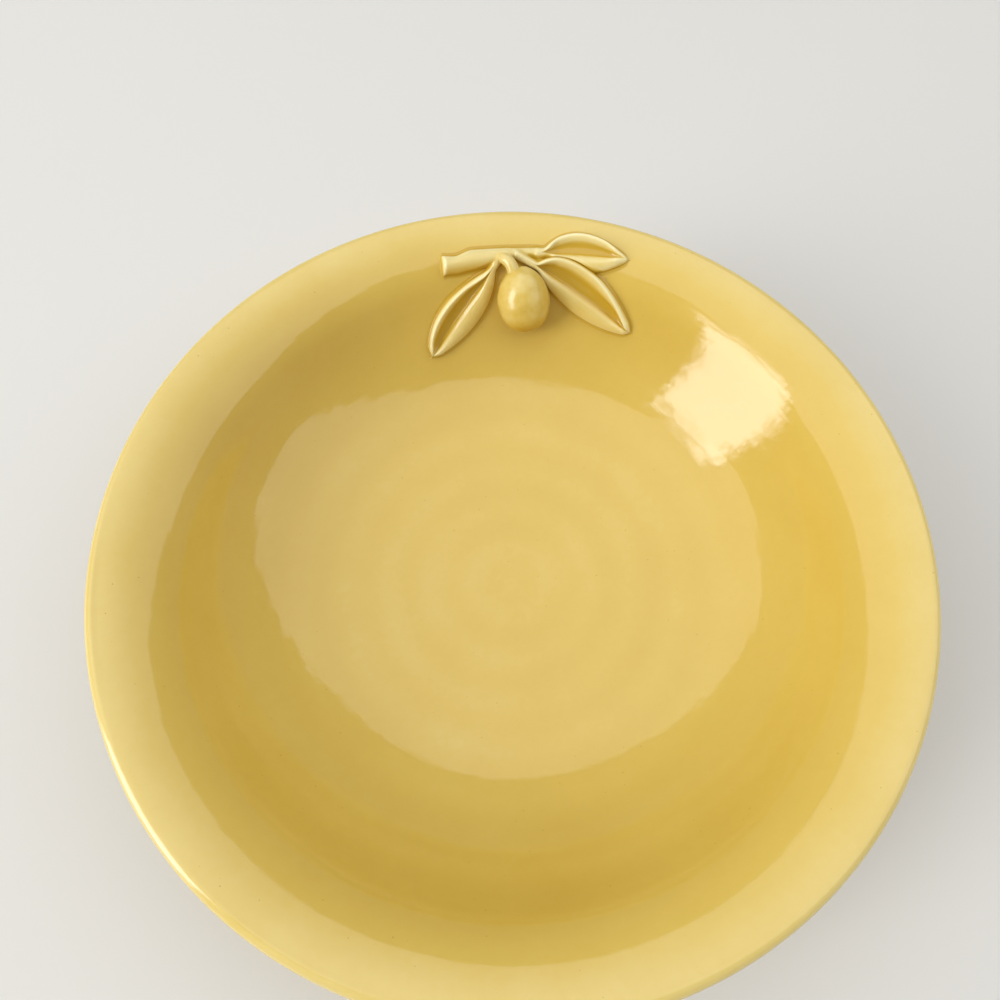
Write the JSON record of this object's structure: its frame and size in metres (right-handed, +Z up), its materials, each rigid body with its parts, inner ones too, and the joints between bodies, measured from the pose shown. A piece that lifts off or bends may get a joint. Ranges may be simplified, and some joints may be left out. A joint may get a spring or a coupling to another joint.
{
  "type": "serving bowl",
  "caption": "Wide glazed earthenware serving bowl with a flared rim, a foot ring and an olive sprig in relief inside the rim.",
  "frame": {"origin": "on the bowl's axis, in the plane that its foot stands on", "axes": "+Z up out of the bowl, +Y towards the olive sprig, +X to the right for someone who looks at the sprig from the middle of the bowl"},
  "size_m": [0.3, 0.3, 0.074],
  "materials": {
    "bowl_glaze": "glossy honey-yellow glaze",
    "foot_glaze": "honey-yellow glaze, wiped thin",
    "relief_glaze": "glossy glaze, pale where it breaks over the relief",
    "olive_glaze": "glossy honey-yellow glaze"
  },
  "bodies": {
    "root": {"bowl_body": "bowl_glaze", "foot_ring": "foot_glaze", "twig": "relief_glaze", "leaf_left": "relief_glaze", "leaf_upper_right": "relief_glaze", "leaf_lower_right": "relief_glaze", "olive_stalk": "relief_glaze", "olive": "olive_glaze"}
  },
  "joints": []
}
